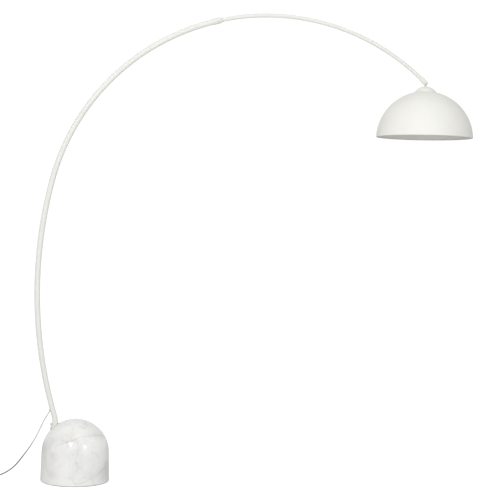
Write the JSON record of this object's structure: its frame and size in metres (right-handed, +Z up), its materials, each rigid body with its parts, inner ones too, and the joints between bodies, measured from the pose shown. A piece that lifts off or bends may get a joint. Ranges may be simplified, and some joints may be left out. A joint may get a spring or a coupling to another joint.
{
  "type": "arc floor lamp",
  "caption": "Arc floor lamp: domed marble foot, curved pole with a sliding arm, and a white dome shade that tilts on a knuckle.",
  "frame": {"origin": "centre of the foot's underside, on the floor", "axes": "+Z up, +X from the foot toward the shade, +Y to the left of +X, seen from above"},
  "size_m": [2.1544, 0.3904, 1.9139],
  "materials": {
    "marble": "polished white marble with soft grey and beige veins",
    "felt": "pressed felt",
    "white_paint": "warm white satin powder coat",
    "shade_paint": "warm white satin powder coat",
    "bare_steel": "zinc-plated steel",
    "dim_steel": "burnished steel screw",
    "dark_rubber": "matt moulded rubber",
    "bush_plastic": "white nylon",
    "cord_sheath": "grey PVC sheath, darker near the floor",
    "holder_plastic": "white thermoset",
    "porcelain": "unglazed lamp ceramic",
    "brass": "bright brass",
    "bulb_metal": "plain aluminium",
    "opal_glass": "opal white glass",
    "switch_plastic": "fine satin moulding"
  },
  "bodies": {
    "stand": {"marble_base": "marble", "floor_pad": "felt", "tie_rod": "bare_steel", "rod_washer": "bare_steel", "rod_nut": "bare_steel", "pole_collar": "white_paint", "collar_screws": "white_paint", "lower_pole": "white_paint", "cord_grommet": "dark_rubber", "pole_lead": "cord_sheath", "pole_ferrule": "white_paint", "guide_bush": "bush_plastic", "arm_lock_screw": "dim_steel", "cord_lead": "cord_sheath", "foot_switch_base": "switch_plastic", "foot_switch_cover": "switch_plastic", "switch_block": "holder_plastic", "foot_switch_screws": "bare_steel", "switch_boots": "dark_rubber", "cord_link": "cord_sheath", "cord_coil": "cord_sheath", "cord_tie": "dark_rubber", "cord_tail": "cord_sheath", "plug_body": "switch_plastic", "plug_pins": "brass"},
    "arm": {"upper_arm": "white_paint", "arm_tail_bush": "bush_plastic", "arm_lead": "cord_sheath", "arm_knuckle": "white_paint", "pivot_screw": "dim_steel", "pivot_nut": "bare_steel", "friction_washers": "bush_plastic"},
    "shade_head": {"shade_swivel": "white_paint", "shade_cap": "shade_paint", "shade": "shade_paint", "shade_lock_nut": "bare_steel", "holder_cover": "holder_plastic", "holder_shell": "holder_plastic", "holder_core": "porcelain", "screw_shell": "brass", "centre_contact": "brass", "bulb_cap": "bulb_metal", "bulb_glass": "opal_glass"},
    "switch_key": {"foot_switch_button": "switch_plastic"}
  },
  "joints": [
    {"name": "arm_extension", "type": "hinge", "parent": "stand", "child": "arm", "pos_m": [0.75801, 0, 1.00792], "axis": [0, 1, 0], "range_deg": [-20, 8]},
    {"name": "shade_tilt", "type": "hinge", "parent": "arm", "child": "shade_head", "pos_m": [1.38975, 0, 1.64304], "axis": [0, 1, 0], "range_deg": [-40, 40]},
    {"name": "foot_switch_press", "type": "slide", "parent": "stand", "child": "switch_key", "axis": [0, 0, -1], "range_m": [0, 0.003], "stiffness_N_per_m": 900, "springref_m": -0.001}
  ]
}
